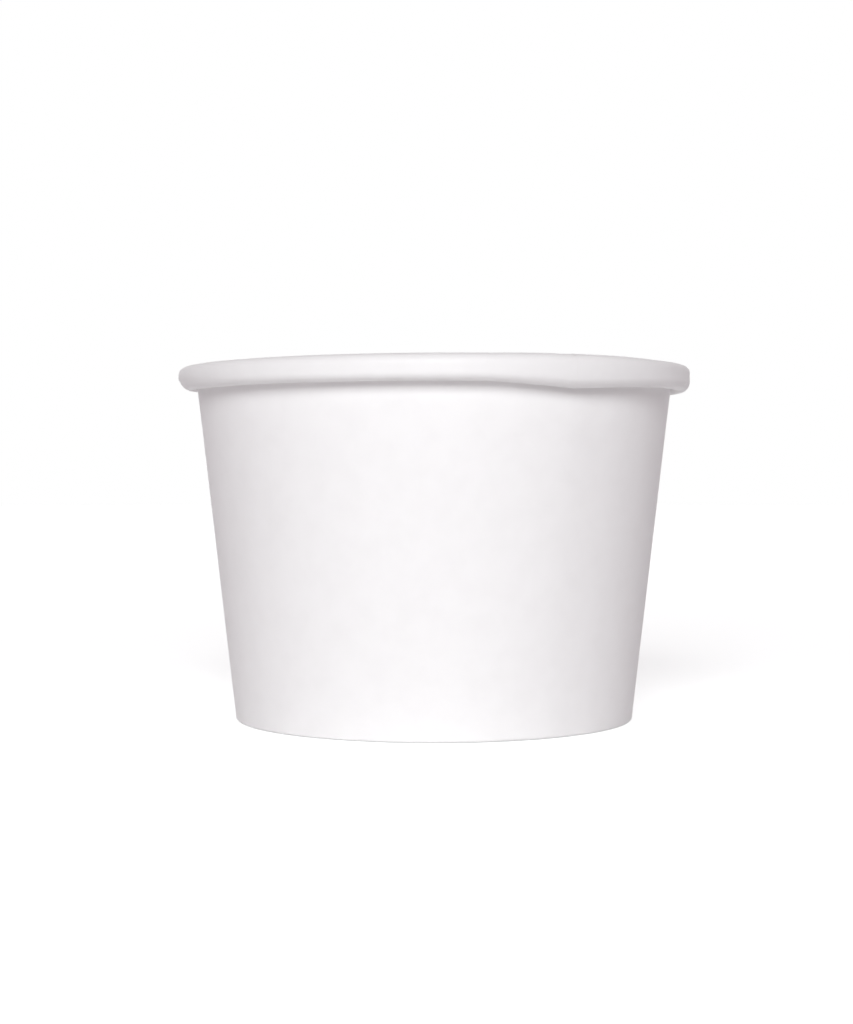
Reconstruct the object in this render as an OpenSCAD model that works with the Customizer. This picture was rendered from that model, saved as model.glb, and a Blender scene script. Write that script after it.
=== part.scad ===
// Paper food container: a tapered tub of coated white board, formed from two blanks.
// The side wall is one fan-shaped sheet. Its ends lap at a sealed side seam, its top edge is curled
// outwards into a rolled rim, and its bottom edge is folded up inside the foot as a hem.
// The bottom disc is a second sheet. Its turned-down skirt is sealed between the wall and the hem.
// Millimetres, +Z up, origin at the centre of the foot, front towards -Y.

/* [Container] */
// Height over the rolled rim
height = 62; // [52:0.5:110]
// Outside diameter of the rolled rim, which a lid grips
rim_d = 90; // [84:0.5:98]
// Outside diameter of the wall where its face meets the table
foot_d = 70; // [62:0.5:76]

/* [Board] */
// Thickness of the side wall's board
wall_t = 0.42; // [0.3:0.02:0.56]
// Thickness of the bottom disc's board
floor_t = 0.36; // [0.24:0.02:0.6]
// Film of melted coating between two sealed boards
seal_gap = 0.03; // [0.01:0.01:0.1]

/* [Rolled rim] */
// Width of the roll over its top
roll_w = 3.5; // [3.1:0.1:4.5]
// Height of the roll
roll_h = 4.5; // [4:0.1:6.5]
// Gap between the curled edge and the wall
roll_gap = 0.12; // [0.06:0.02:0.3]
// Length of the cut edge that runs up inside the roll
roll_tail = 1.2; // [0.4:0.1:1.6]

/* [Foot] */
// Height of the hem folded up inside the foot
hem_h = 6; // [4:0.1:9]
// Space between the hem's cut edge and the bend of the bottom disc
hem_gap = 0.6; // [0.2:0.1:1.5]
// Inside radius of the bend between the floor and its skirt
floor_bend = 0.6; // [0.3:0.1:1.5]

/* [Side seam] */
// Angle of the middle of the lap, from the front towards the right
seam_angle = 35; // [-180:1:180]
// Angle that the lap spans
lap_angle = 10; // [6:0.5:18]
// Angle over which the outer flap rises from the round of the wall to the lap
lap_ease = 40; // [25:1:60]
// How much deeper the roll hangs where it holds two boards
seam_drop = 0.7; // [0.3:0.1:1.2]

/* [Hidden] */
$fn = 128;
board_white = [0.96, 0.95, 0.95];
front = -90;
lap_boards = 2;

// Step of the small arcs in a section
arc_step = 12;
// Share of the ease that is drawn, up to where its step is finer than the board's own roughness
ease_share = 0.9;

rim_r = rim_d / 2;
foot_r = foot_d / 2;

// Top arc of the roll, and the lean of a wall that runs from the foot tangent into that arc
top_r = roll_w / 2;
top_c = [rim_r - top_r, height - top_r];
reach = top_c - [foot_r, 0];
lean = atan2(reach.x, reach.y) - asin((top_r - wall_t) / norm(reach));
up = [sin(lean), cos(lean)];
inward = [-cos(lean), sin(lean)];

// Depths of the sealed boards at the foot, inside the wall's outer face
skirt_face = wall_t + seal_gap;
hem_face = skirt_face + floor_t + seal_gap;

// Centres of the two rounds of the foot's fold
wall_fold = on_wall(wall_t, wall_t);
hem_fold = on_wall(hem_face, wall_t);

// Underside of the floor, above the hem and the bend
floor_z = hem_h + hem_gap + floor_bend;

// Point at a height on the face that lies a depth inside the wall's outer face
function on_wall(depth, z) = [foot_r, 0] + depth * inward + (z - depth * inward.y) / up.y * up;

// Points of an arc
function arc(centre, r, from, to) =
    let (steps = ceil(abs(to - from) / arc_step))
    [for (i = [0:steps]) let (a = from + (to - from) * i / steps) centre + r * [cos(a), sin(a)]];

// Underside of the roll: an arc tangent to the rim's side and, a gap away, to the wall
function roll_low(boards) = height - roll_h - (boards - 1) * seam_drop;
function under_r(boards) =
    ((rim_r - foot_r) * cos(lean) - roll_low(boards) * sin(lean) - roll_gap - (boards - 1) * wall_t)
    / (1 + cos(lean) + sin(lean));
function under_c(boards) = [rim_r - under_r(boards), roll_low(boards) + under_r(boards)];

// Section of the side wall, one board thick, or two over the lap. The outline starts at the hem's cut
// edge, goes round the fold, up the outside, through the inside of the roll to the cut edge in it,
// and back along the board's other face.
module wall_section(boards) {
    t = boards * wall_t;
    fold_turn = asin(1 / boards);
    low_r = under_r(boards);
    low_c = under_c(boards);
    tail = roll_tail * up;
    polygon(concat(
        [on_wall(hem_face + t, hem_h)],
        arc(hem_fold, t, 180 - lean, 180 + fold_turn),
        arc(wall_fold, t, -fold_turn, -lean),
        arc(top_c, top_r - t, 180 - lean, 0),
        arc(low_c, low_r - t, 0, -180 - lean),
        [low_c + (low_r - t) * inward + tail, low_c + low_r * inward + tail],
        arc(low_c, low_r, -180 - lean, 0),
        arc(top_c, top_r, 0, 180 - lean),
        [wall_fold, hem_fold, on_wall(hem_face, hem_h)]));
}

// Section of the bottom disc, from the axis over the bend and down the skirt
module floor_section() {
    bend_c = on_wall(skirt_face + floor_t + floor_bend, floor_z - floor_bend);
    polygon(concat(
        [[0, floor_z], [0, floor_z + floor_t]],
        arc(bend_c, floor_bend + floor_t, 90, -lean),
        [on_wall(skirt_face, skirt_face), on_wall(skirt_face + floor_t, skirt_face)],
        arc(bend_c, floor_bend, -lean, 90)));
}

// Solid cone inside the wall's outer face, or as much wider
module cone_body(wider, top) {
    rotate_extrude() polygon(concat(
        [[0, 0]],
        arc(wall_fold + [wider, 0], wall_t, -90, -lean),
        [on_wall(0, top) + [wider, 0], [0, top]]));
}

// Before the lap the outer flap rises from the round wall to lie on the inner one, so its face lies on
// a slightly off-centre cone. It meets the lap a film's thickness lower, where the lap is pressed, and
// stops where the roll leaves it no more room.
module eased_flap() {
    step = (wall_t - seal_gap) / cos(lean);
    shift = step / (1 - cos(lap_ease));
    top = under_c(1).y - sqrt(2 * under_r(1) * wall_t - wall_t * wall_t);
    drawn = lap_ease * ease_share;
    difference() {
        intersection() {
            rotate_extrude(start = -drawn, angle = drawn) square([rim_r, height]);
            translate([shift, 0, 0]) cone_body(step - shift, top);
        }
        cone_body(-step / 2, height);
    }
}

module side_wall() {
    color(board_white) rotate([0, 0, front + seam_angle - lap_angle / 2]) {
        rotate_extrude(start = 0, angle = lap_angle) wall_section(lap_boards);
        rotate_extrude(start = lap_angle, angle = 360 - lap_angle) wall_section(1);
        eased_flap();
    }
}

module bottom_disc() {
    color(board_white) rotate_extrude() floor_section();
}

side_wall();
bottom_disc();
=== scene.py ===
# %% [markdown]
# # A paper food container
# The real tub is made of two blanks of white coated board and nothing else. A fan-shaped sheet is
# wrapped into the side wall, lapped and sealed at a side seam, curled over at the top into a rolled
# rim, and folded up inside the foot as a hem. A round sheet is the floor, and the hem clamps its
# turned-down edge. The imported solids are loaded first, because they fix the size and place of
# everything that follows.

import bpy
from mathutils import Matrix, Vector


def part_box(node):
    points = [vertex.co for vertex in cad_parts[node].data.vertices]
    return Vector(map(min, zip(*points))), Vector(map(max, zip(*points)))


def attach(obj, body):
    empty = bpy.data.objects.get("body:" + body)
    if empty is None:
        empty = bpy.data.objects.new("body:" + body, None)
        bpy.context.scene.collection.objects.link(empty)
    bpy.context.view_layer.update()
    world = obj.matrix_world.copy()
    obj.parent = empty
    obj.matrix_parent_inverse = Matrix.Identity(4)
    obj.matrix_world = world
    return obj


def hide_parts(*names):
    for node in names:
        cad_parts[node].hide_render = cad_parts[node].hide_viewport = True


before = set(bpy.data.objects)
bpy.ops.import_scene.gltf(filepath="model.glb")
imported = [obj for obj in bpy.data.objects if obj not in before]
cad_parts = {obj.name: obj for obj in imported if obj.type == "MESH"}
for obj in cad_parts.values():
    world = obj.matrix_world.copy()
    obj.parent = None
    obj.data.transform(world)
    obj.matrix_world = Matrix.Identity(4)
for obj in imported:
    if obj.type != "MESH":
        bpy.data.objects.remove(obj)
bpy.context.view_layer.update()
print("packed solids:", sorted(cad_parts))

# %% [markdown]
# ## Camera
# The picture is taken from a little below the rim and from close by, so the roll hides the mouth and
# the foot shows as a flat arc. A camera can be placed by eye, but the outline of the tub fixes it
# better: the widths of the rim and the foot and the sags of their arcs give one place for the eye.
# It comes first, so that every piece can be looked at through it as soon as it is made.

# %% Camera
from math import radians

import bpy

MM = 0.001
EYE = (-1.33, -338.1, 42.0)
LOOK_DOWN = 0.953
LENS = 66.87
NEAREST = 10

scene = bpy.context.scene
camera = bpy.data.objects.new("camera", bpy.data.cameras.new("camera"))
camera.data.lens = LENS
camera.data.clip_start = NEAREST * MM
camera.location = [MM * c for c in EYE]
camera.rotation_euler = (radians(90 - LOOK_DOWN), 0, 0)
scene.collection.objects.link(camera)
scene.camera = camera
print("eye at", EYE, "mm, looking down", LOOK_DOWN, "degrees")

# %% [markdown]
# ## Sizes of the section
# Everything round on the tub comes from one section, drawn in a plane with the radius across and the
# height up. The rim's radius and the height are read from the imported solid, so the dressed tub can't
# outgrow it. The board's thickness, the roll and the hem are named here in millimetres. The lean of
# the wall isn't a free choice: the wall runs from the foot tangent into the top of the roll.

# %% Sizes of the section
from math import asin, atan2, cos, degrees, sin

from mathutils import Vector

RIM_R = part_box("side_wall")[1].x / MM
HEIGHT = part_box("side_wall")[1].z / MM
FOOT = Vector((35.0, 0.0))  # radius and height
WALL_T = 0.42
FLOOR_T = 0.36
FILM = 0.03
ROLL_W = 3.5
ROLL_H = 4.5
ROLL_GAP = 0.12
ROLL_TAIL = 1.2
HEM_H = 6.0
HEM_GAP = 0.6
FLOOR_BEND = 0.6

TOP_R = ROLL_W / 2
TOP_C = Vector((RIM_R - TOP_R, HEIGHT - TOP_R))
reach = TOP_C - FOOT
LEAN = atan2(reach.x, reach.y) - asin((TOP_R - WALL_T) / reach.length)
UP = Vector((sin(LEAN), cos(LEAN)))
INWARD = Vector((-cos(LEAN), sin(LEAN)))
print(f"the wall leans {degrees(LEAN):.2f} degrees, rim radius {RIM_R:.2f}, height {HEIGHT:.2f}")

# %% [markdown]
# Three boards lie on each other at the foot: the wall, the skirt of the floor, and the hem, each a
# film of melted coating apart. So a point there is found by its depth inside the wall's outer face
# and its height. The underside of the roll is an arc that touches the rim's straight side and stops
# a small gap from the wall.

# %% Points that the section turns on
FOLD_R = 0.5
SKIRT_FACE = WALL_T + FILM
HEM_FACE = SKIRT_FACE + FLOOR_T + FILM


def on_wall(depth, z):
    """Point of the section at a height, on the face that lies a depth inside the wall's outer face."""
    return FOOT + depth * INWARD + (z - depth * INWARD.y) / UP.y * UP


hem_edge = on_wall(HEM_FACE + WALL_T, HEM_H)
hem_fold = on_wall(HEM_FACE + WALL_T - FOLD_R, FOLD_R)
wall_fold = on_wall(FOLD_R, FOLD_R)
roll_low = HEIGHT - ROLL_H
under_r = (RIM_R - FOOT.x) * cos(LEAN) - roll_low * sin(LEAN) - ROLL_GAP
under_r /= 1 + cos(LEAN) + sin(LEAN)
print(f"fold at radius {hem_fold.x:.2f} to {wall_fold.x:.2f}, roll's under arc of {under_r:.2f}")

# %% [markdown]
# ## A pen that bends board
# A section could be typed as a list of points, but board isn't made that way: it runs straight, is
# bent round a tool, and runs straight again. The pen below works like that. Each step extrudes the
# last vertex and then moves or turns the new one, so the chain of edges is the board's outer face
# from one cut edge to the other. Every vertex keeps its station, its number along the board, and the
# heading of the pen, because both are needed again when the seam is shaped.

# %% Pen
from math import copysign

import bmesh
from mathutils import Matrix


class Pen:
    """Draws a section in the XZ plane, in millimetres, as a chain of edges."""

    def __init__(self, start, heading):
        self.bm = bmesh.new()
        self.station = self.bm.verts.layers.int.new("station")
        self.ring = self.bm.verts.layers.int.new("ring")
        self.tip = bmesh.ops.create_vert(self.bm, co=(start.x, 0, start.y))["vert"][0]
        self.heading = radians(heading)
        self.section = [(start.copy(), self.heading)]
        self.ends = {}

    def step(self):
        """Extrudes the tip and returns the new vertex."""
        self.tip = bmesh.ops.extrude_vert_indiv(self.bm, verts=[self.tip])["verts"][0]
        self.tip[self.station] = len(self.section)
        return [self.tip]

    def note(self, heading):
        """Keeps where the new vertex came to lie, and which way the pen was going."""
        self.section.append((self.tip.co.xz, heading))

    def straight(self, name, length, steps):
        """Runs straight on for a length."""
        ahead = Vector((cos(self.heading), 0, sin(self.heading))) * (length / steps)
        for _ in range(steps):
            bmesh.ops.translate(self.bm, verts=self.step(), vec=ahead)
            self.note(self.heading)
        self.ends[name] = len(self.section) - 1

    def bend(self, name, radius, angle, steps):
        """Bends to the left by an angle in degrees, or to the right if it is negative."""
        left = Vector((-sin(self.heading), 0, cos(self.heading)))
        centre = self.tip.co + left * copysign(radius, angle)
        turn = radians(angle) / steps
        for i in range(steps):
            matrix = Matrix.Rotation(-turn, 3, "Y")
            bmesh.ops.rotate(self.bm, verts=self.step(), cent=centre, matrix=matrix)
            self.note(self.heading + turn * (i + 1))
        self.heading += radians(angle)
        self.ends[name] = len(self.section) - 1


print("the pen is ready")

# %% [markdown]
# ## Section of the side wall
# The pen starts at the hem's cut edge under the floor, goes down, round the fold of the foot, up the
# long wall, over the crown of the rim, down its straight side, and back in under it to the cut edge
# that hides inside the roll. That is the true way of the board, so the roll comes out hollow.

# %% Section of the side wall
lean_deg = degrees(LEAN)
wall_pen = Pen(hem_edge, 270 - lean_deg)
wall_pen.straight("hem", (hem_edge - hem_fold) @ UP, steps=8)
wall_pen.bend("hem round", FOLD_R, 90 + lean_deg, steps=6)
wall_pen.straight("foot", wall_fold.x - hem_fold.x, steps=2)
wall_pen.bend("wall round", FOLD_R, 90 - lean_deg, steps=6)
wall_pen.straight("wall", (TOP_C - wall_fold) @ UP, steps=26)
wall_pen.bend("crown", TOP_R - WALL_T, lean_deg - 180, steps=18)
wall_pen.straight("side", ROLL_H - TOP_R - under_r, steps=4)
wall_pen.bend("under", under_r - WALL_T, -180 - lean_deg, steps=18)
wall_pen.straight("tail", ROLL_TAIL, steps=2)
stations = len(wall_pen.section)
print(stations, "stations, the last at", [round(c, 2) for c in wall_pen.section[-1][0]])

# %% [markdown]
# ## Wrapping the sheet
# A full spin would close the wall into a ring with no seam. A real blank goes a little further than
# once round, so this one is spun through 370 degrees. The first ten degrees are the inner flap and
# the last ten are the outer flap, which covers it. The sheet starts 30 degrees to the right of the
# front, where the picture shows the roll's lower edge take a kink.

# %% Wrap the sheet
FRONT = -90
LAP_START = 30
LAP = 10
ROUND = 360
RINGS = 296

sheet = wall_pen.bm
start_turn = Matrix.Rotation(radians(FRONT + LAP_START), 3, "Z")
bmesh.ops.rotate(sheet, verts=sheet.verts[:], cent=(0, 0, 0), matrix=start_turn)
bmesh.ops.spin(
    sheet,
    geom=sheet.verts[:] + sheet.edges[:],
    cent=(0, 0, 0),
    axis=(0, 0, 1),
    angle=radians(ROUND + LAP),
    steps=RINGS,
    use_merge=False,
)
sheet.verts.index_update()
for vert in sheet.verts:
    vert[wall_pen.ring] = vert.index // stations
print("the sheet has", len(sheet.faces), "faces in", RINGS, "strips")

# %% [markdown]
# ## How the seam lies
# Two flaps can't share one place, so the outer flap has to rise off the round by a board's thickness.
# On the wall it does so over a wide angle, because board bends easily there. In the roll it has to
# happen over a few degrees, because the curl is stiff. The lap is pressed hot, so the boards are
# thinner in it, and in the roll the two cut edges are squeezed out almost to nothing. Bending a mesh
# by hand could do this once, but functions of a ring's turn from the inner flap's cut edge keep the
# two flaps apart everywhere. The first numbers are degrees, the last two are shares of the thickness.

# %% Shares of each ring: the lap
WALL_EASE = 40
ROLL_EASE = 9
LAP_FADE = 8
SQUEEZE = 10
PRESSED = 0.4
CUT_LEFT = 0.06


def ease(x, start, end):
    """0 before start, 1 after end, and a smooth rise between them."""
    u = min(max((x - start) / (end - start), 0), 1)
    return u * u * (3 - 2 * u)


def thin(turn):
    """Share of the board's thickness that the press has left."""
    if turn <= LAP:
        return CUT_LEFT + (PRESSED - CUT_LEFT) * ease(turn, 0, SQUEEZE)
    if turn >= ROUND:
        return PRESSED + (CUT_LEFT - PRESSED) * ease(turn, ROUND + LAP - SQUEEZE, ROUND + LAP)
    past_lap = ease(turn, LAP, LAP + LAP_FADE)
    near_lap = ease(turn, ROUND - ROLL_EASE, ROUND)
    return 1 - (1 - PRESSED) * (1 - past_lap + near_lap)


def past_edge(turn):
    """Turn past the inner flap's cut edge, the same for both flaps of the lap."""
    return turn - ROUND if turn > ROUND / 2 else turn


def cover(turn, run):
    """Thickness of the outer flap and the film under it, which comes in over a run before the lap."""
    past = past_edge(turn)
    full = FILM + WALL_T * thin(ROUND + min(max(past, 0), LAP))
    return full * ease(past, -run, 0) * (1 - ease(past, LAP, LAP + LAP_FADE))


def sink(turn):
    """What the roll's inner layers give way, so that its outer face runs on level over the lap."""
    past = past_edge(turn)
    return WALL_T * (thin(max(past, 0)) - 1) * ease(past, -ROLL_EASE, 0)


full, at_edge = cover(0, WALL_EASE), cover(LAP, WALL_EASE)
print(f"the outer flap stands {full:.2f} mm over the inner one, and {at_edge:.2f} mm at its edge")

# %% [markdown]
# ## How the roll lies
# The picture also shows that the roll isn't even. It hangs lower at the seam, where two boards need a
# longer way round the curl: the drop grows from just right of the middle to a kink at the cut edge and
# then fades. On the left the curl is smaller. There and below the seam its lower half is tucked in
# towards the wall, at the front its face is flatter, and at both ends its upper corner is squarer. A
# brush could model that by hand, but numbers by angle can be fitted to the picture.

# %% Numbers of the seam's drop, in millimetres and degrees
DROP = 0.85
DROP_RUN = 19
DROP_FADE = 30
DROP_CURVE = 1.2
SEAM_INSET = 0.85


def seam_share(past):
    """1 at the kink, falling to 0 on both sides of it."""
    away = past / DROP_FADE if past > 0 else -past / DROP_RUN
    return max(1 - away, 0) ** DROP_CURVE


print(f"ten degrees right of the kink the roll hangs {DROP * seam_share(10):.2f} mm lower")

# %% Numbers of the ends and the front, in millimetres and degrees from the front
LEFT_LIFT = 0.5
LEFT_AT = -105
LEFT_NARROW = 8
LEFT_INSET = 0.85
LEFT_SQUARE = 0.6
LEFT_END = -85
LEFT_END_NARROW = 6
RIGHT_SQUARE = 1.3
RIGHT_END = 82
RIGHT_END_NARROW = 4
PLUMP = 0.3
FLAT = 0.6
FLAT_NARROW = 2


def lobe(from_front, at, narrow):
    """1 at an angle from the front, fading round the tub. A higher power makes it narrower."""
    return max(cos(radians(from_front - at)), 0) ** narrow


print(f"thirty degrees off the left end, its tuck has faded to {lobe(30, 0, LEFT_END_NARROW):.2f}")

# %% [markdown]
# A real rim is never quite round or level either. So the crown is a touch lower away from the seam,
# the rim is a little oval, and a faint wave runs round the roll. All of it is far below a millimetre
# and goes inwards or downwards, so the tub keeps its size.

# %% Numbers of the unevenness all round, in millimetres and degrees
SAG_ALL = 0.08
TILT = 0.25
TILT_RUN = (0, 90)
CREST = 0.12
CREST_RISE = (-22, -4)
CREST_FALL = (LAP, 28)
OVAL = 0.10
WAVE = 0.03
WAVES = ((3, 0.7, 1.0), (7, 2.1, 0.6))  # how many, where they start, how strong


def wave_at(turn):
    """The wave's height at a turn, which is the same for both flaps of the lap."""
    from_lap = radians(turn - LAP / 2)
    return WAVE * sum(size * sin(count * from_lap + start) for count, start, size in WAVES)


def lowered(past):
    """How much lower the crown is than at the seam."""
    crest = ease(past, *CREST_RISE) * (1 - ease(past, *CREST_FALL))
    return TILT * ease(abs(past - LAP / 2), *TILT_RUN) + CREST * (1 - crest)


print(f"the crown is {lowered(ROUND / 2):.2f} mm lower on the far side of the seam")

# %% [markdown]
# Each ring of the sheet now gets its own set of these numbers. On the wall the inner flap keeps its
# pressed thickness up to the cut edge, which is why a fine line shows inside the tub.

# %% Shares of each ring
from dataclasses import dataclass


@dataclass
class RingShare:
    """What a ring takes from each move, in millimetres. The two thins and square are plain shares."""

    thin: float
    wall_thin: float
    outer: bool
    wall_lap: float
    roll_lap: float
    sink: float
    drop: float
    plump: float
    inset: float
    square: float
    level: float
    oval: float


def ring_share(ring):
    """The shares of a ring by its number."""
    turn = ring * (ROUND + LAP) / RINGS
    past = past_edge(turn)
    from_front = turn + LAP_START
    seam = seam_share(past)
    left = lobe(from_front, LEFT_AT, LEFT_NARROW)
    left_end = lobe(from_front, LEFT_END, LEFT_END_NARROW)
    right_end = lobe(from_front, RIGHT_END, RIGHT_END_NARROW)
    return RingShare(
        thin=thin(turn),
        wall_thin=max(thin(turn), PRESSED) if turn <= LAP else thin(turn),
        outer=turn > ROUND / 2,
        wall_lap=cover(turn, WALL_EASE),
        roll_lap=cover(turn, ROLL_EASE),
        sink=sink(turn),
        drop=DROP * seam + wave_at(turn) + SAG_ALL - LEFT_LIFT * left,
        plump=PLUMP * (1 - left) - FLAT * lobe(from_front, 0, FLAT_NARROW),
        inset=LEFT_INSET * left_end + SEAM_INSET * seam,
        square=RIGHT_SQUARE * right_end + LEFT_SQUARE * left_end,
        level=lowered(past),
        oval=OVAL * (1 + cos(2 * radians(from_front))) / 2,
    )


ring_shares = [ring_share(k) for k in range(RINGS + 1)]
print(f"the roll drops by {max(r.drop for r in ring_shares):.2f} mm at most")

# %% [markdown]
# A move takes hold of some parts of the section and leaves others alone. So each station has its
# shares too, and what is done to a point is the product of the two. The roll hangs and leans from its
# straight side on, while its cut edge stays where it is, so the board never meets itself in the curl.

# %% Parts of the section
ROLL_NEARS = (50.0, 57.5)
FOOT_ENDS = (1.0, 8.0)
SQUARENESS = 4


@dataclass
class StationShare:
    """Place and outward normal of a station, and its shares. The corner is in millimetres."""

    place: Vector
    out: Vector
    roll: float
    foot: float
    hang: float
    plump: float
    tuck: float
    lean: float
    corner: float


def along(station, start, end):
    """Share of the way from the end of one stretch of the section to the end of another."""
    first, last = wall_pen.ends[start], wall_pen.ends[end]
    return min(max((station - first) / (last - first), 0), 1)


def squarer(out):
    """How much further a squared curl reaches than a round one, as a share of its radius."""
    return (out.x ** SQUARENESS + out.y ** SQUARENESS) ** (-1 / SQUARENESS) - 1


print("the section's parts end at stations", wall_pen.ends)

# %% Shares of each station
def station_share(station):
    """The shares of a station by its number."""
    place, heading = wall_pen.section[station]
    ends = wall_pen.ends
    on_wall_part, past_side = station <= ends["wall"], station > ends["side"]
    hang = along(station, "crown", "side") - along(station, "under", "tail")
    above = max(place.y - roll_low - WALL_T, 0) / (under_r - WALL_T)
    side_r = RIM_R - WALL_T
    tail_r = wall_pen.section[ends["under"]][0].x
    tuck = (side_r - place.x) / (side_r - tail_r) if past_side else 0.0
    depth = max(TOP_C.y - place.y, 0) / (TOP_C.y - roll_low - WALL_T)
    out = Vector((sin(heading), -cos(heading)))
    on_corner = ends["wall"] < station <= ends["crown"] and out.x < 0
    return StationShare(
        place=place,
        out=out,
        roll=ease(place.y, *ROLL_NEARS) if on_wall_part else 1.0,
        foot=1 - ease(place.y, *FOOT_ENDS) if station > ends["hem"] else 1.0,
        hang=hang,
        plump=min(hang * above, hang) if place.x > RIM_R - under_r else 0.0,
        tuck=tuck,
        lean=depth ** 2 * (1 - tuck) if station > ends["crown"] else 0.0,
        corner=(TOP_R - WALL_T) * squarer(out) if on_corner else 0.0,
    )


station_shares = [station_share(s) for s in range(stations)]
print(sum(s.roll == 1 for s in station_shares), "stations are wholly in the roll")

# %% [markdown]
# ## Shaping the seam
# Now each vertex of the plain spun sheet goes to its place on the formed tub. The outer flap moves out
# along the board's own normal, the roll takes its uneven form, and its cut edge is tucked away from the
# doubled wall. No part of the roll may pass the rim's radius, so the tub keeps the size of its solid.
# At the foot the fold is pressed flat on the table, so the outer flap stays down there and the inner
# flap gives way upwards.

# %% Shape the seam
def formed(station, ring):
    """Radius and height of a point of the formed sheet."""
    lap = ring.wall_lap + (ring.roll_lap - ring.wall_lap) * station.roll
    place = station.place + station.out * (lap * ring.outer + station.roll * ring.sink)
    place -= station.out * station.corner * ring.square
    place.x += station.tuck * ring.roll_lap - station.lean * ring.inset
    place.x -= ring.oval * (station.place.y / HEIGHT) ** 2
    place.x = min(place.x, RIM_R - WALL_T * ring.thin)
    place.y += station.foot * lap + station.plump * ring.plump
    place.y -= station.hang * ring.drop + station.roll * (1 - station.hang) * ring.level
    return place


for vert in sheet.verts:
    place = formed(station_shares[vert[wall_pen.station]], ring_shares[vert[wall_pen.ring]])
    spoke = vert.co.xy.normalized() * place.x
    vert.co = (spoke.x, spoke.y, place.y)
print("lowest point of the sheet", round(min(v.co.z for v in sheet.verts), 3), "mm")

# %% [markdown]
# ## Thickness of the board
# The sheet is still a single face, the one that is outside on the wall. Its normals are set to that
# side, and solidify then puts the second face, the one that holds the food, a board's thickness behind
# it and closes the cut edges. The new vertices keep the station and ring of the old ones, so each can
# be pulled closer where the lap is pressed. At the tight fold of the foot the inner points meet, and
# they are merged.

# %% Thickness of the board
OUTSIDE, FOOD_SIDE, CUT_EDGE, HEM_SIDE = range(4)
TOUCHING = 0.004

bmesh.ops.recalc_face_normals(sheet, faces=sheet.faces[:])
probe = max(sheet.faces, key=lambda face: face.calc_area())
if probe.normal.xy @ probe.calc_center_median().xy < 0:
    bmesh.ops.reverse_faces(sheet, faces=sheet.faces[:])

hem_end = wall_pen.ends["hem"]
for face in sheet.faces:
    on_hem = max(v[wall_pen.station] for v in face.verts) <= hem_end
    face.material_index = HEM_SIDE if on_hem else OUTSIDE
outer = {(v[wall_pen.ring], v[wall_pen.station]): v for v in sheet.verts}
first_faces = set(sheet.faces)
made = bmesh.ops.solidify(sheet, geom=sheet.faces[:], thickness=WALL_T)["geom"]

shell = {item for item in made if isinstance(item, bmesh.types.BMFace)}
for face in set(sheet.faces) - first_faces:
    face.material_index = FOOD_SIDE if face in shell else CUT_EDGE
for vert in (item for item in made if isinstance(item, bmesh.types.BMVert)):
    near = outer[vert[wall_pen.ring], vert[wall_pen.station]].co
    ring, station = ring_shares[vert[wall_pen.ring]], station_shares[vert[wall_pen.station]]
    left = ring.wall_thin + (ring.thin - ring.wall_thin) * station.roll
    vert.co = near + (vert.co - near).normalized() * (WALL_T * left)
bmesh.ops.remove_doubles(sheet, verts=sheet.verts[:], dist=TOUCHING)
print("the sheet's", len(first_faces), "faces have become a board of", len(sheet.faces))

# %% [markdown]
# A cut edge is crisp, while the bends are smooth. So all faces are shaded smooth, and only the edges
# along a cut are marked sharp. The finished bmesh is scaled from millimetres to metres and becomes an
# object that sits at the origin, with its place in its mesh.

# %% From bmesh to object
def to_object(bm, name, node):
    """Makes the piece, lets it ride on the part, and has it stand for its solid."""
    for face in bm.faces:
        face.smooth = True
    for edge in bm.edges:
        sides = {face.material_index == CUT_EDGE for face in edge.link_faces}
        edge.smooth = len(sides) < 2
    bmesh.ops.scale(bm, vec=(MM, MM, MM), verts=bm.verts[:])
    mesh = bpy.data.meshes.new(name)
    bm.to_mesh(mesh)
    bm.free()
    piece = bpy.data.objects.new(name, mesh)
    scene.collection.objects.link(piece)
    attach(piece, "root")
    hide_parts(node)
    mesh.calc_loop_triangles()
    print(name, "has", len(mesh.loop_triangles), "triangles")
    return piece


side_wall = to_object(sheet, "side_wall_board", "side_wall")

# %% [markdown]
# ## Floor
# The floor is a round blank whose edge is turned down into a skirt. The same pen draws its food side
# from the axis outwards, round the bend and down the skirt. Here a full spin is right, because a disc
# has no seam. The spin is merged where it closes and at the pole, and then gets its thickness.

# %% Floor
SKIRT_RINGS = 144
SKIRT_LIFT = 2 * SKIRT_FACE

floor_under = HEM_H + HEM_GAP + FLOOR_BEND
bend_c = on_wall(SKIRT_FACE + FLOOR_T + FLOOR_BEND, floor_under - FLOOR_BEND)
bend_end = bend_c - (FLOOR_BEND + FLOOR_T) * INWARD
skirt_end = on_wall(SKIRT_FACE, SKIRT_LIFT)

floor_pen = Pen(Vector((0.0, floor_under + FLOOR_T)), 0)
floor_pen.straight("floor", bend_c.x, steps=14)
floor_pen.bend("bend", FLOOR_BEND + FLOOR_T, -90 - lean_deg, steps=10)
floor_pen.straight("skirt", (bend_end - skirt_end) @ UP, steps=4)
disc = floor_pen.bm
bmesh.ops.spin(
    disc,
    geom=disc.verts[:] + disc.edges[:],
    cent=(0, 0, 0),
    axis=(0, 0, 1),
    angle=radians(ROUND),
    steps=SKIRT_RINGS,
    use_merge=True,
)
bmesh.ops.remove_doubles(disc, verts=disc.verts[:], dist=TOUCHING)
print("the floor's radius is", round(bend_c.x, 2), "mm to its bend, with", len(disc.faces), "faces")

# %% [markdown]
# A flat blank can't be turned down without gathering: its edge is too long for the skirt, so the bend
# takes up small pleats all round. The middle sags a little from its forming. Both are moves of less
# than two tenths of a millimetre, made before the thickness so that the two faces follow each other.

# %% Sag and pleats of the floor
SAG = 0.18
PLEATS = 36
PLEAT_DEPTH = 0.05
PLEAT_RUN = (0.93, 1.0)
UNEVEN = 1.5
UNEVEN_TURNS = 5

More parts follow.
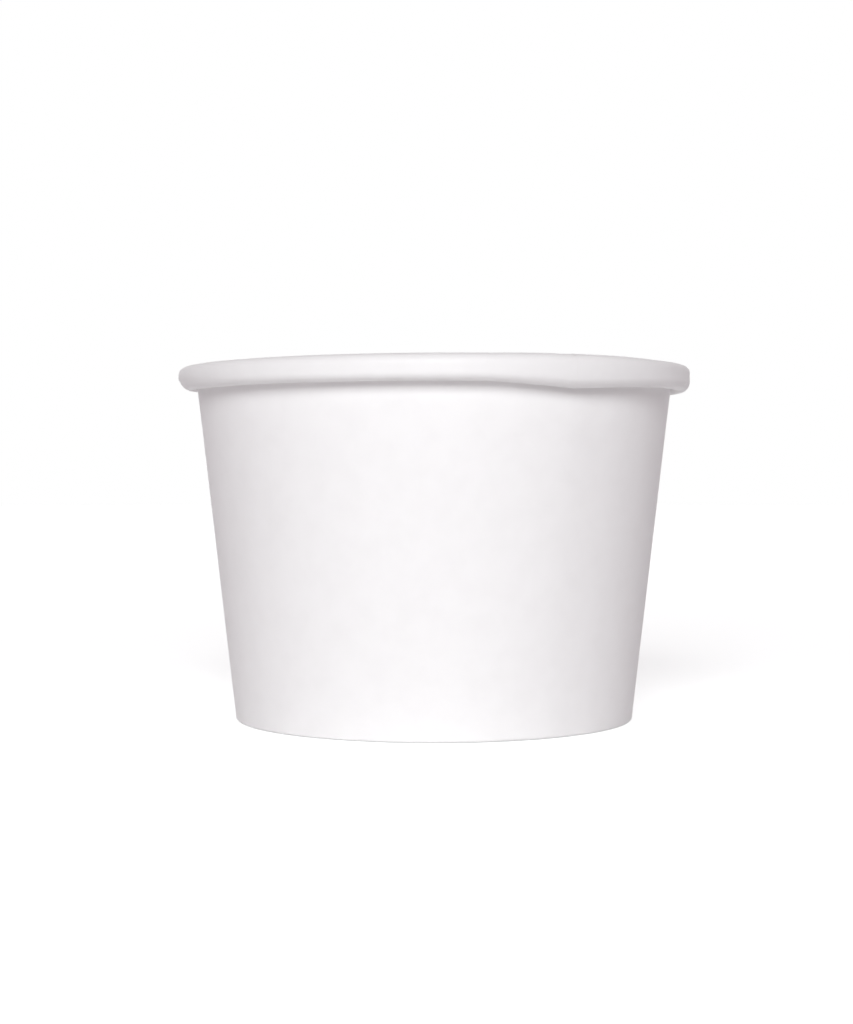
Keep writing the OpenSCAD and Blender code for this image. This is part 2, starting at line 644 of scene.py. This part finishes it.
for vert in disc.verts:
    share = vert.co.xy.length / bend_c.x
    vert.co.z -= SAG * max(1 - share * share, 0) ** 2
    near_bend = ease(share, *PLEAT_RUN) * ease(vert.co.z, floor_under - FLOOR_BEND, floor_under)
    turn = atan2(vert.co.y, vert.co.x)
    pleat = 0.5 + 0.5 * sin(PLEATS * turn + UNEVEN * sin(UNEVEN_TURNS * turn))
    vert.co.z -= PLEAT_DEPTH * near_bend * pleat
print("sag", SAG, "mm,", PLEATS, "pleats")

# %% [markdown]
# The disc is one face so far, the one that holds the food. A modifier could thicken it, but solidify
# in a bmesh tells which faces are new, so the underside and the skirt's cut edge get their own finish.

# %% Thickness of the floor
bmesh.ops.recalc_face_normals(disc, faces=disc.faces[:])
crown_face = min(disc.faces, key=lambda face: face.calc_center_median().xy.length)
if crown_face.normal.z < 0:
    bmesh.ops.reverse_faces(disc, faces=disc.faces[:])
for face in disc.faces:
    face.material_index = FOOD_SIDE
first_faces = set(disc.faces)
made = bmesh.ops.solidify(disc, geom=disc.faces[:], thickness=FLOOR_T)["geom"]
shell = {item for item in made if isinstance(item, bmesh.types.BMFace)}
for face in set(disc.faces) - first_faces:
    face.material_index = OUTSIDE if face in shell else CUT_EDGE
bottom_disc = to_object(disc, "bottom_disc_board", "bottom_disc")

# %% [markdown]
# ## Board
# Cup board is pressed from pulp. Held to the light it is cloudy, because the fibres settle in flocks a
# few millimetres across, and close up its face is covered in fine short fibres. An image could show
# that, but two noises at those sizes do it at any distance. Both are kept faint: from a step away the
# board is just white. The first helper makes a node, sets its values, and links what is a socket. The
# others are the few things that the finishes share.

# %% Node helpers
NOISE_MIDDLE = (0.3, 0.7)


def add(tree, kind, settings=None, **inputs):
    """Adds a shader node. An input is a value, or a socket that is linked to it."""
    node = tree.nodes.new("ShaderNode" + kind)
    for name, value in (settings or {}).items():
        setattr(node, name, value)
    for name, value in inputs.items():
        socket = node.inputs[int(name[1:])] if name[0] == "_" else node.inputs[name]
        if isinstance(value, bpy.types.NodeSocket):
            tree.links.new(value, socket)
        else:
            socket.default_value = value
    return node


def maths(tree, operation, first, second=0.0):
    """The result of a sum, a product or another operation, as a socket."""
    return add(tree, "Math", {"operation": operation}, _0=first, _1=second).outputs[0]


def noise(tree, scale, detail):
    """A noise in the piece's own metres, as a socket from 0 to 1."""
    where = add(tree, "TexCoord").outputs["Object"]
    return add(tree, "TexNoise", Vector=where, Scale=scale, Detail=detail).outputs["Fac"]


def between(tree, value, low, high):
    """The noise's middle range spread from low to high."""
    start, end = NOISE_MIDDLE
    ends = {"From Min": start, "From Max": end, "To Min": low, "To Max": high}
    return add(tree, "MapRange", Value=value, **ends).outputs["Result"]


def tone(tree, value, dark, light):
    """A colour between dark and light."""
    ramp = add(tree, "ValToRGB", Fac=value)
    for stop, colour, position in zip(ramp.color_ramp.elements, (dark, light), NOISE_MIDDLE):
        stop.color = (*colour, 1)
        stop.position = position
    return ramp.outputs["Color"]


def new_material(name):
    """A material, its node tree and its shader."""
    material = bpy.data.materials.new(name)
    material.use_nodes = True
    return material, material.node_tree, material.node_tree.nodes["Principled BSDF"]


print("node helpers are ready")

# %% [markdown]
# The outside is the board's bare, calendered face: matt, with the fibres just felt. The hem shows the
# same face under the floor, but the tool that seals it rolls a row of short upright dents into it, as
# under most paper cups. They could be modelled, but they are a tenth of a millimetre deep, so a bump
# will do: a wave round the axis that fades out near the fold and near the cut edge. One function makes
# both faces.

# %% Dents of the hem
DENTS = 160
DENT_WAVE = (-0.5, 0.6)
DENT_LOW = (1.2, 1.9)
DENT_HIGH = (4.8, 4.1)


def rise(tree, value, start, end):
    """0 at the start, 1 at the end, and smooth between them."""
    smooth = {"interpolation_type": "SMOOTHSTEP"}
    ends = {"From Min": start, "From Max": end}
    return add(tree, "MapRange", smooth, Value=value, **ends).outputs["Result"]


def dents(tree):
    """Upright dents round the hem, as a height from 0 to 1."""
    spot = add(tree, "SeparateXYZ", Vector=add(tree, "TexCoord").outputs["Object"]).outputs
    turn = maths(tree, "ARCTAN2", spot["Y"], spot["X"])
    wave = maths(tree, "SINE", maths(tree, "MULTIPLY", turn, float(DENTS)))
    low = rise(tree, spot["Z"], *(MM * z for z in DENT_LOW))
    high = rise(tree, spot["Z"], *(MM * z for z in DENT_HIGH))
    band = maths(tree, "MULTIPLY", low, high)
    return maths(tree, "MULTIPLY", rise(tree, wave, *DENT_WAVE), band)


print(DENTS, "dents, from", DENT_LOW[0], "to", DENT_HIGH[0], "mm above the table")

# %% Outside of the board
FLOCK = 260
FIBRE = 2600
FLOCK_DEEP = 0.006 * MM
FIBRE_DEEP = 0.006 * MM
DENT_DEEP = 0.1 * MM
BARE_TONES = ((0.926, 0.921, 0.918), (0.950, 0.946, 0.943))
BARE_ROUGH = (0.56, 0.68)


def board_face(name, dented):
    """The bare face of the board, with or without the hem's dents."""
    material, tree, shader = new_material(name)
    flock, fibre = noise(tree, FLOCK, detail=4.0), noise(tree, FIBRE, detail=3.0)
    tree.links.new(tone(tree, flock, *BARE_TONES), shader.inputs["Base Color"])
    tree.links.new(between(tree, fibre, *BARE_ROUGH), shader.inputs["Roughness"])
    normal = add(tree, "Bump", Height=flock, Distance=FLOCK_DEEP).outputs["Normal"]
    normal = add(tree, "Bump", Height=fibre, Distance=FIBRE_DEEP, Normal=normal).outputs["Normal"]
    if dented:
        inwards = {"invert": True}
        bump = add(tree, "Bump", inwards, Height=dents(tree), Distance=DENT_DEEP, Normal=normal)
        normal = bump.outputs["Normal"]
    tree.links.new(normal, shader.inputs["Normal"])
    return material


outside = board_face("board_outside", False)
hem_side = board_face("board_hem_dented", True)
print("made", outside.name, "and", hem_side.name)

# %% [markdown]
# The food side has a film of plastic melted onto it. The film fills the fibres, so this face is
# smoother and has a satin sheen, with a slight ripple left from the roller. The roll is the same sheet
# turned over outwards, so the rim that the picture shows is this face.

# %% Food side of the board
RIPPLE = 900
RIPPLE_DEEP = 0.006 * MM
COATED_TONES = ((0.892, 0.887, 0.884), (0.912, 0.908, 0.905))
COATED_ROUGH = (0.48, 0.58)


def coated_face(name):
    """The face with the film on it, inside the tub and round the roll."""
    material, tree, shader = new_material(name)
    flock, ripple = noise(tree, FLOCK, detail=3.0), noise(tree, RIPPLE, detail=2.0)
    tree.links.new(tone(tree, flock, *COATED_TONES), shader.inputs["Base Color"])
    tree.links.new(between(tree, ripple, *COATED_ROUGH), shader.inputs["Roughness"])
    normal = add(tree, "Bump", Height=flock, Distance=FLOCK_DEEP).outputs["Normal"]
    normal = add(tree, "Bump", Height=ripple, Distance=RIPPLE_DEEP, Normal=normal).outputs["Normal"]
    tree.links.new(normal, shader.inputs["Normal"])
    return material


food_side = coated_face("board_coated")
print("made", food_side.name)

# %% [markdown]
# A cut edge shows the inside of the board, which is a shade warmer than its faces, open and rough. It
# could be left out, as it is under half a millimetre wide, but it is what tells board from plastic.

# %% Cut edge of the board
FRAY = 3200
FRAY_DEEP = 0.03 * MM
EDGE_TONES = ((0.84, 0.81, 0.76), (0.93, 0.91, 0.87))
EDGE_ROUGH = (0.75, 0.9)


def cut_edge_face(name):
    """The open inside of the board."""
    material, tree, shader = new_material(name)
    fray = noise(tree, FRAY, detail=4.0)
    tree.links.new(tone(tree, fray, *EDGE_TONES), shader.inputs["Base Color"])
    tree.links.new(between(tree, fray, *EDGE_ROUGH), shader.inputs["Roughness"])
    normal = add(tree, "Bump", Height=fray, Distance=FRAY_DEEP).outputs["Normal"]
    tree.links.new(normal, shader.inputs["Normal"])
    return material


cut_edge = cut_edge_face("board_cut_edge")
for piece in (side_wall, bottom_disc):
    for material in (outside, food_side, cut_edge, hem_side):
        piece.data.materials.append(material)
print("materials on", side_wall.name, "and", bottom_disc.name)

# %% [markdown]
# ## Floor of the studio
# The tub stands on a plain pale sheet that runs off into white. A strong lamp would burn the floor to
# white, but it would burn the tub as well. So the floor stays a plain pale surface for the light, and
# only the rays that are seen, straight or in a reflection, find some glow added to it. The glow rises
# with the distance, where less of the lamp's light arrives. The tub's shadow stays, because the glow
# under it is no brighter than around it.

# %% Studio floor
STUDIO_R = 3.0
STUDIO_SIDES = 96
STUDIO_DROP = 0.05

ground = bmesh.new()
bmesh.ops.create_circle(ground, cap_ends=True, radius=STUDIO_R, segments=STUDIO_SIDES)
bmesh.ops.translate(ground, verts=ground.verts[:], vec=(0, 0, -STUDIO_DROP * MM))
bmesh.ops.recalc_face_normals(ground, faces=ground.faces[:])
studio_floor = bpy.data.objects.new("studio_floor", bpy.data.meshes.new("studio_floor"))
ground.to_mesh(studio_floor.data)
ground.free()
scene.collection.objects.link(studio_floor)
print("studio floor of radius", STUDIO_R, "m")

# %% Finish of the studio floor
PALE = (0.90, 0.90, 0.90, 1)
GLOW_TINT = (0.96, 1.0, 0.985, 1)
GLOW_NEAR = 0.535
GLOW_FAR = 0.80
GLOW_RUN = (0.08, 0.9)


def seen_rays(tree):
    """1 for rays that the eye, a gloss or a clear surface sends out."""
    path = add(tree, "LightPath").outputs
    mirrored = maths(tree, "MAXIMUM", path["Is Glossy Ray"], path["Is Transmission Ray"])
    return maths(tree, "MAXIMUM", path["Is Camera Ray"], mirrored)


pale, tree, shader = new_material("studio_pale")
shader.inputs["Base Color"].default_value = PALE
shader.inputs["Roughness"].default_value = 1.0
shader.inputs["Specular IOR Level"].default_value = 0.0
shader.inputs["Emission Color"].default_value = GLOW_TINT
where = add(tree, "TexCoord").outputs["Object"]
away = add(tree, "VectorMath", {"operation": "LENGTH"}, _0=where).outputs["Value"]
near, far = GLOW_RUN
ends = {"From Min": near, "From Max": far, "To Min": GLOW_NEAR, "To Max": GLOW_FAR}
glow = add(tree, "MapRange", Value=away, **ends).outputs["Result"]
glow = maths(tree, "MULTIPLY", seen_rays(tree), glow)
tree.links.new(glow, shader.inputs["Emission Strength"])
studio_floor.data.materials.append(pale)
print("its glow goes from", GLOW_NEAR, "to", GLOW_FAR)

# %% [markdown]
# ## Light
# The shading in the picture is simple. The front of the tub is almost as bright as the paper is white,
# the sides fall off as the cosine of their turn, and the darkest edges keep about half of the light.
# That is one large soft lamp in front, a touch to the left and above, in a pale room. The lamp stands
# far off, so that the rim isn't much brighter than the foot.

# %% Lamp
LAMP_AT = (-0.18, -2.46, 1.21)
LAMP_SIZE = 1.2
LAMP_WATTS = 57.9
LAMP_TINT = (0.97, 1.0, 1.0)

lamp = bpy.data.objects.new("soft_lamp", bpy.data.lights.new("soft_lamp", "AREA"))
lamp.data.size = LAMP_SIZE
lamp.data.energy = LAMP_WATTS
lamp.data.color = LAMP_TINT
lamp.location = LAMP_AT
middle = Vector((0, 0, HEIGHT * MM / 2))
lamp.rotation_euler = (middle - lamp.location).to_track_quat("-Z", "Y").to_euler()
scene.collection.objects.link(lamp)
print("lamp of", LAMP_WATTS, "W")

# %% [markdown]
# The room throws a little pinkish light back from all sides, and the white backdrop behind the tub gives
# light as well, which is what the far side sees. Lamps could do that too, but the world behind the scene
# can be brighter in one direction, and then no second hard shadow falls on the floor. To the eye and in
# reflections it is plain white.

# %% Room and backdrop
ROOM_TINT = (1.0, 0.70, 0.82)
ROOM_LIGHT = 0.155
BACKDROP_LIGHT = 11.0
BACKDROP_FOCUS = 20.0
WHITE = (1, 1, 1, 1)

room = bpy.data.worlds.new("room")
room.use_nodes = True
scene.world = room
tree = room.node_tree
ambient = tree.nodes["Background"]
ambient.inputs["Color"].default_value = (*ROOM_TINT, 1)
ambient.inputs["Strength"].default_value = ROOM_LIGHT

ahead = add(tree, "SeparateXYZ", Vector=add(tree, "TexCoord").outputs["Generated"]).outputs["Y"]
focus = maths(tree, "POWER", maths(tree, "MAXIMUM", ahead, 0.0), BACKDROP_FOCUS)
bright = maths(tree, "MULTIPLY", focus, BACKDROP_LIGHT)
backdrop = add(tree, "Background", Color=WHITE, Strength=bright)
both = add(tree, "AddShader", _0=ambient.outputs[0], _1=backdrop.outputs[0]).outputs[0]
white = add(tree, "Background", Color=WHITE, Strength=1.0)
shown = add(tree, "MixShader", Fac=seen_rays(tree), _1=both, _2=white.outputs[0])
tree.links.new(shown.outputs[0], tree.nodes["World Output"].inputs["Surface"])
scene.view_settings.view_transform = "Standard"
print("room light", ROOM_LIGHT, "and backdrop", BACKDROP_LIGHT)
